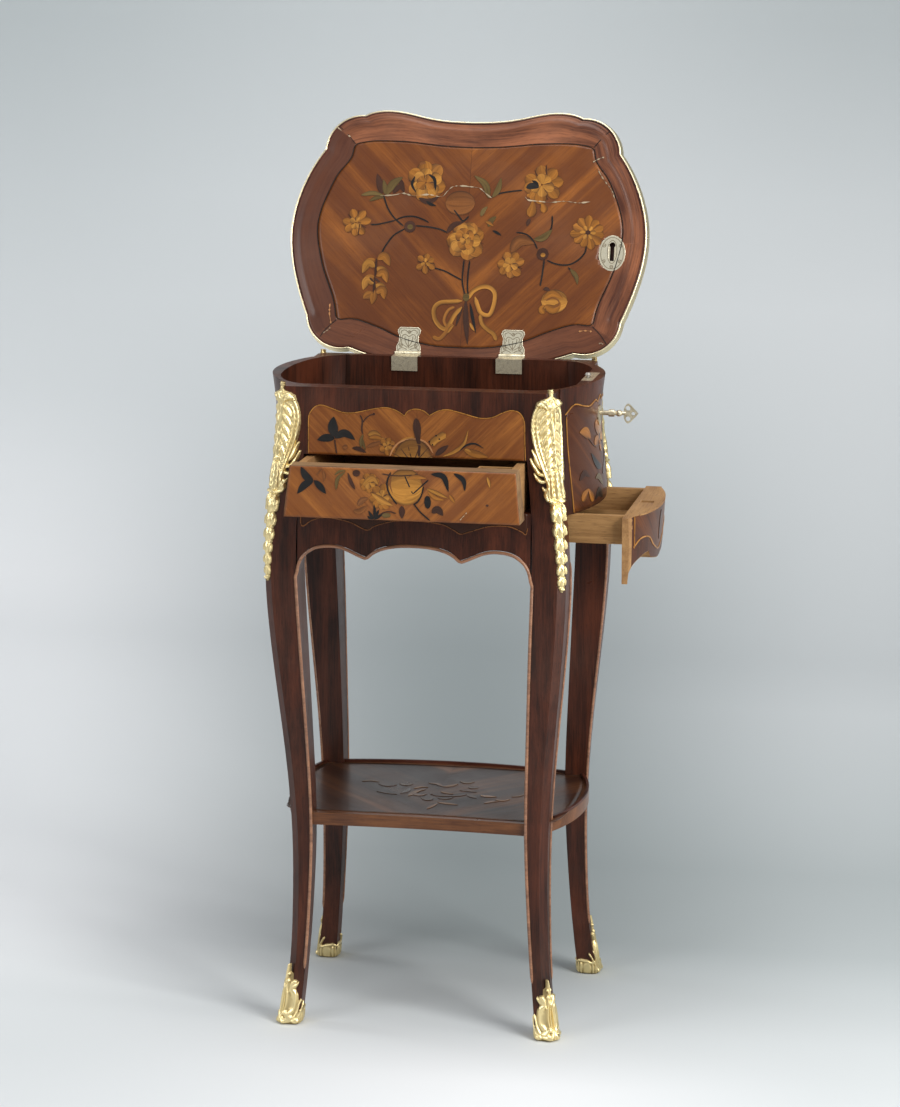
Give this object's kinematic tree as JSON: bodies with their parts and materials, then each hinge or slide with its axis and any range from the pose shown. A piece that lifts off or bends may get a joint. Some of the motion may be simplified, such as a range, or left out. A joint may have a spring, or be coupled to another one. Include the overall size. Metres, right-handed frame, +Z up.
{
  "type": "poudreuse dressing table",
  "caption": "Small marquetry dressing table on cabriole legs: hinged lid over a well, front drawer, end drawer worked by one lock, and a shelf between the legs.",
  "frame": {"origin": "on the floor under the middle of the whole table as it stands, lid open and drawers part out", "axes": "+Z up, the front faces -Y, +X towards the end with the lock and the lower drawer"},
  "size_m": [0.4467, 0.4159, 0.9628],
  "materials": {
    "leg_veneer": "polished dark purplewood veneer",
    "dark_veneer": "polished dark veneer",
    "marquetry": "polished tulipwood veneer with floral marquetry",
    "light_bead": "polished light bead",
    "well_floor": "waxed veneer",
    "drawer_oak": "bare oak, darkened with age",
    "gilt_bronze": "fire gilt, chased",
    "old_brass": "worn brass",
    "lock_steel": "worn steel"
  },
  "bodies": {
    "carcass": {"back_bead": "light_bead", "back_left_leg": "leg_veneer", "back_left_mount": "gilt_bronze", "back_left_sabot": "gilt_bronze", "back_panel": "dark_veneer", "back_right_leg": "leg_veneer", "back_right_mount": "gilt_bronze", "back_right_sabot": "gilt_bronze", "back_runner": "drawer_oak", "dust_board": "drawer_oak", "escutcheon": "gilt_bronze", "front_apron": "dark_veneer", "front_bead": "light_bead", "front_left_leg": "leg_veneer", "front_left_mount": "gilt_bronze", "front_left_sabot": "gilt_bronze", "front_right_leg": "leg_veneer", "front_right_mount": "gilt_bronze", "front_right_sabot": "gilt_bronze", "front_runner": "drawer_oak", "left_end": "marquetry", "left_fixed_hinge_leaf": "old_brass", "left_guide": "drawer_oak", "left_hinge_pin": "old_brass", "lock_case": "lock_steel", "lock_selvedge": "lock_steel", "right_end": "marquetry", "right_fixed_hinge_leaf": "old_brass", "right_guide": "drawer_oak", "right_hinge_pin": "old_brass", "shelf": "marquetry", "shelf_lip": "dark_veneer", "upper_front": "marquetry", "well_floor": "well_floor"},
    "lid": {"lid_left_hinge_leaf": "old_brass", "lid_moulding": "gilt_bronze", "lid_panel": "marquetry", "lid_right_hinge_leaf": "old_brass", "lid_strike_plate": "old_brass"},
    "front_drawer": {"front_drawer_back": "drawer_oak", "front_drawer_bottom": "drawer_oak", "front_drawer_cell_back": "drawer_oak", "front_drawer_cell_divider": "drawer_oak", "front_drawer_face": "marquetry", "front_drawer_left_side": "drawer_oak", "front_drawer_right_side": "drawer_oak"},
    "end_drawer": {"end_drawer_back": "drawer_oak", "end_drawer_bottom": "drawer_oak", "end_drawer_face": "marquetry", "end_drawer_front_side": "drawer_oak", "end_drawer_rear_side": "drawer_oak"},
    "key": {"key": "lock_steel"},
    "lid_bolt": {"lid_bolt": "lock_steel"},
    "drawer_bolt": {"drawer_bolt": "lock_steel"}
  },
  "joints": [
    {"name": "lid_hinge", "type": "hinge", "parent": "carcass", "child": "lid", "pos_m": [-0.0205, 0.1095, 0.70015], "axis": [1, 0, 0], "range_deg": [0, 108]},
    {"name": "front_drawer_slide", "type": "slide", "parent": "carcass", "child": "front_drawer", "axis": [0, -1, 0], "range_m": [-0.064, 0.09]},
    {"name": "end_drawer_slide", "type": "slide", "parent": "carcass", "child": "end_drawer", "axis": [1, 0, 0], "range_m": [-0.064, 0.11]},
    {"name": "key_turn", "type": "hinge", "parent": "carcass", "child": "key", "pos_m": [0.1595, -0.0125, 0.6615], "axis": [1, 0, 0], "range_deg": [0, 180]},
    {"name": "lid_bolt_slide", "type": "slide", "parent": "carcass", "child": "lid_bolt", "axis": [0, 1, 0], "range_m": [0, 0.008]},
    {"name": "drawer_bolt_slide", "type": "slide", "parent": "carcass", "child": "drawer_bolt", "axis": [0, 0, -1], "range_m": [0, 0.008]}
  ],
  "couplings": [
    {"joint": "lid_bolt_slide", "follows": "key_turn", "m_per_rad": 0.002546},
    {"joint": "drawer_bolt_slide", "follows": "key_turn", "m_per_rad": 0.002546}
  ]
}
